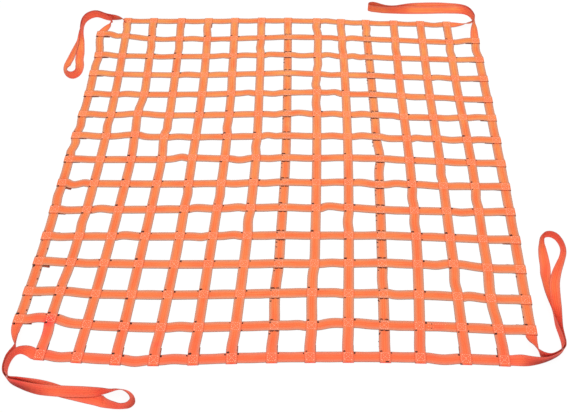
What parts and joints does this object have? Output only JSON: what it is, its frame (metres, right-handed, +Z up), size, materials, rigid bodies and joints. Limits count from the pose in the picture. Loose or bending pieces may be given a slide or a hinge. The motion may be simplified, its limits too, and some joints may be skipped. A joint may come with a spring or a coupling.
{
  "type": "cargo net",
  "caption": "Flat cargo net of woven webbing with square openings, stitched at every crossing, and a webbing lifting loop at each corner.",
  "frame": {"origin": "on the floor, under the middle crossing of the net", "axes": "+Z up from the floor; +X to the right along the cross straps; +Y to the back along the length straps"},
  "size_m": [1.6393, 1.6419, 0.0309],
  "materials": {
    "strap_webbing": "woven polyester webbing, matte with a slight sheen, orange",
    "border_webbing": "woven polyester webbing, matte with a slight sheen, orange",
    "loop_webbing": "woven polyester webbing, matte with a slight sheen, red orange"
  },
  "bodies": {
    "root": {"length_strap_01": "strap_webbing", "length_strap_02": "strap_webbing", "length_strap_03": "strap_webbing", "length_strap_04": "strap_webbing", "length_strap_05": "strap_webbing", "length_strap_06": "strap_webbing", "length_strap_07": "strap_webbing", "length_strap_08": "strap_webbing", "length_strap_09": "strap_webbing", "length_strap_10": "strap_webbing", "length_strap_11": "strap_webbing", "length_strap_12": "strap_webbing", "length_strap_13": "strap_webbing", "cross_strap_01": "strap_webbing", "cross_strap_02": "strap_webbing", "cross_strap_03": "strap_webbing", "cross_strap_04": "strap_webbing", "cross_strap_05": "strap_webbing", "cross_strap_06": "strap_webbing", "cross_strap_07": "strap_webbing", "cross_strap_08": "strap_webbing", "cross_strap_09": "strap_webbing", "cross_strap_10": "strap_webbing", "cross_strap_11": "strap_webbing", "cross_strap_12": "strap_webbing", "cross_strap_13": "strap_webbing", "border_strap_left": "border_webbing", "border_strap_right": "border_webbing", "border_strap_back": "border_webbing", "border_strap_front": "border_webbing", "corner_loop_front_left": "loop_webbing", "corner_loop_front_right": "loop_webbing", "corner_loop_back_left": "loop_webbing", "corner_loop_back_right": "loop_webbing"}
  },
  "joints": []
}
